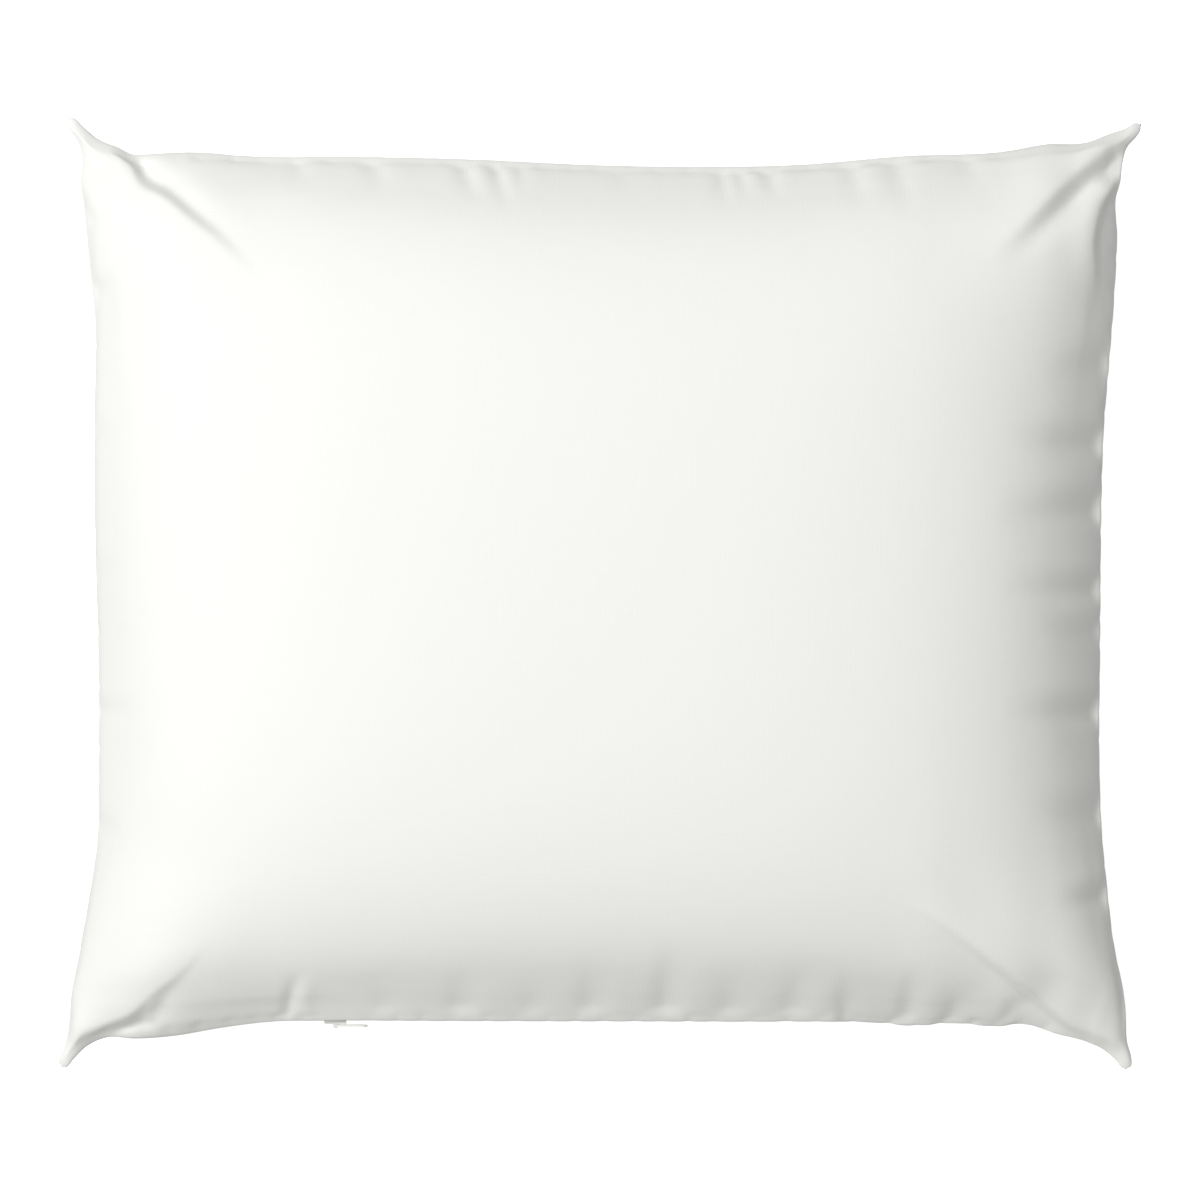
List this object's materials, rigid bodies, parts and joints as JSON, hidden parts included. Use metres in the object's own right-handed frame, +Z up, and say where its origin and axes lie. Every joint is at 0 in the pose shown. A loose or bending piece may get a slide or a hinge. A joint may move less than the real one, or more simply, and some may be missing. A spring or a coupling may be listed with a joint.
{
  "type": "bed pillow",
  "caption": "Rectangular filled bed pillow in a plain white cotton case with pointed corner ears and a concealed zip along one long edge.",
  "frame": {"origin": "on the surface the pillow lies on, under the middle of its outline", "axes": "+X along the long edges, +Y along the short edges away from the zip, +Z up out of the front panel"},
  "size_m": [0.431, 0.382, 0.1079],
  "materials": {
    "case_cotton": "matte",
    "seam_thread": "satin",
    "zip_tape": "matte",
    "zip_coil": "satin",
    "zip_lacquer": "satin",
    "label_satin": "satin",
    "ticking_cotton": "matte",
    "fibre_fill": "matte"
  },
  "bodies": {
    "pillow": {"case_front_panel": "case_cotton", "case_back_panel": "case_cotton", "case_overlock_seam": "seam_thread", "zip_tape_front": "zip_tape", "zip_tape_back": "zip_tape", "zip_coil_front": "zip_coil", "zip_coil_back": "zip_coil", "zip_stop_left": "zip_coil", "zip_stop_right": "zip_coil", "care_label": "label_satin", "ticking_front": "ticking_cotton", "ticking_back": "ticking_cotton", "ticking_overlock_seam": "seam_thread", "fill_core": "fibre_fill"},
    "slider": {"zip_slider": "zip_lacquer"},
    "puller": {"zip_puller": "zip_lacquer"}
  },
  "joints": [
    {"name": "zip_slide", "type": "slide", "parent": "pillow", "child": "slider", "axis": [1, 0, 0], "range_m": [0, 0.1904]},
    {"name": "puller_swing", "type": "hinge", "parent": "slider", "child": "puller", "pos_m": [-0.1072, -0.1727, 0.04695], "axis": [0, 0, -1], "range_deg": [0, 180]}
  ]
}
